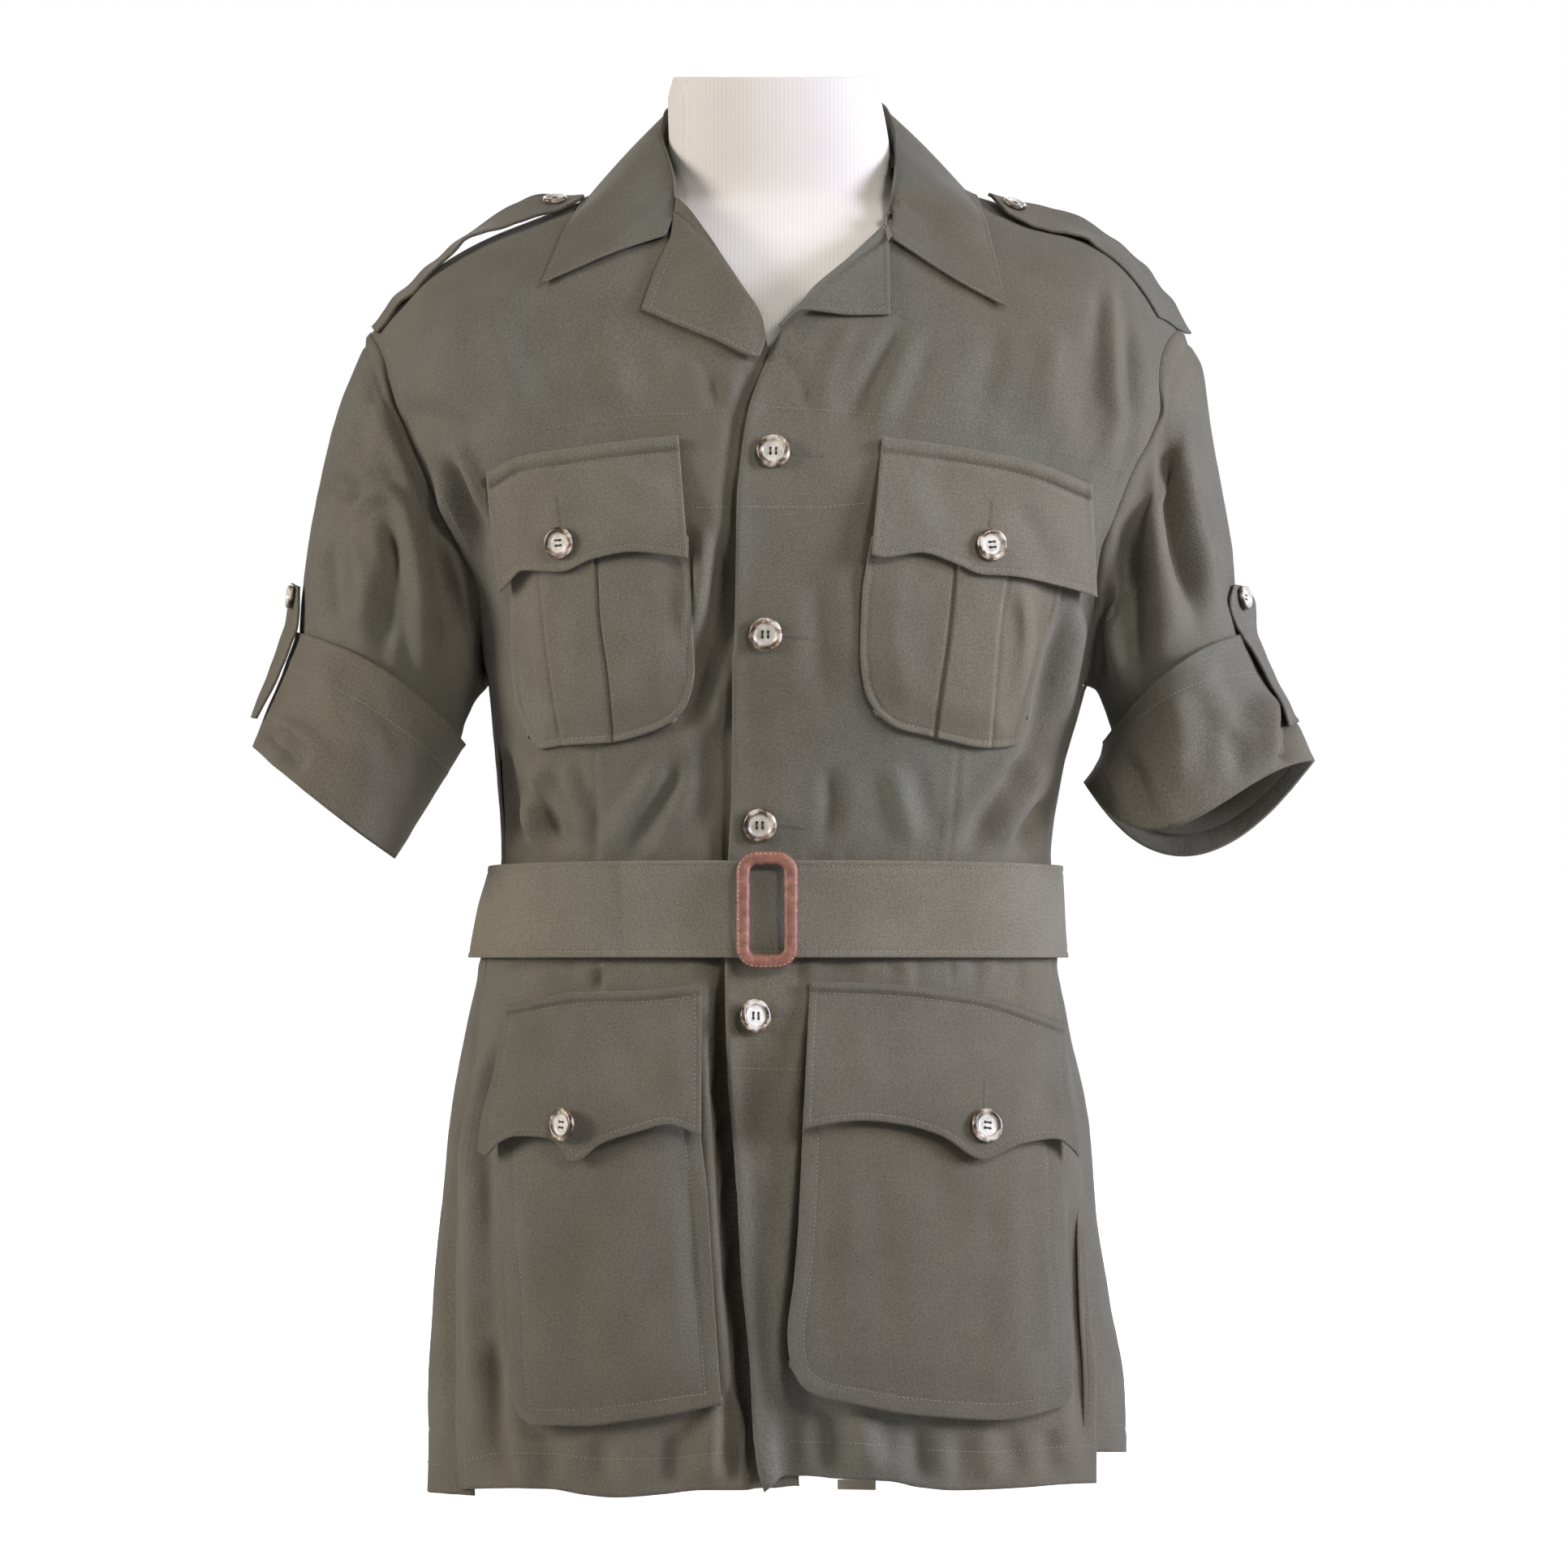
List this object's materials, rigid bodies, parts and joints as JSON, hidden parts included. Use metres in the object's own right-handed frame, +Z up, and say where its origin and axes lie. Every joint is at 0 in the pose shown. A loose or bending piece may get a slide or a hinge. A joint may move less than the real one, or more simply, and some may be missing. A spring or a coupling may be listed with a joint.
{
  "type": "safari jacket on a dress form",
  "caption": "Belted short-sleeved safari jacket with patch pockets, shoulder straps and rolled cuffs, worn by a limbless dress form that stands on its foot.",
  "frame": {"origin": "on the surface the dress form stands on, below the middle of the whole", "axes": "+Z up, +X to the viewer's right, the front of the jacket faces -Y"},
  "size_m": [0.6113, 0.2432, 0.8126],
  "materials": {
    "drill": "olive-grey cotton drill, fine weave, matt with a faint sheen, softly mottled",
    "knit": "cream rib-knit cover with fine upright ribs, matt",
    "leather": "reddish-brown grained leather over a rounded frame, pale edge stitching",
    "horn": "polished horn-like buttons, cream middle, mottled brown rim, four holes"
  },
  "bodies": {
    "root": {"dress_form": "knit", "front_left": "drill", "front_right": "drill", "back": "drill", "sleeve_left": "drill", "sleeve_right": "drill", "cuff_left": "drill", "cuff_right": "drill", "collar": "drill", "lapel_left": "drill", "lapel_right": "drill", "epaulette_left": "drill", "epaulette_right": "drill", "sleeve_tab_left": "drill", "sleeve_tab_right": "drill", "chest_pocket_left": "drill", "chest_pocket_right": "drill", "chest_flap_left": "drill", "chest_flap_right": "drill", "hip_pocket_left": "drill", "hip_pocket_right": "drill", "hip_flap_left": "drill", "hip_flap_right": "drill", "belt": "drill", "buckle": "leather", "button_front_1": "horn", "button_front_2": "horn", "button_front_3": "horn", "button_front_4": "horn", "button_chest_left": "horn", "button_chest_right": "horn", "button_hip_left": "horn", "button_hip_right": "horn", "button_epaulette_left": "horn", "button_epaulette_right": "horn", "button_tab_left": "horn", "button_tab_right": "horn"}
  },
  "joints": []
}
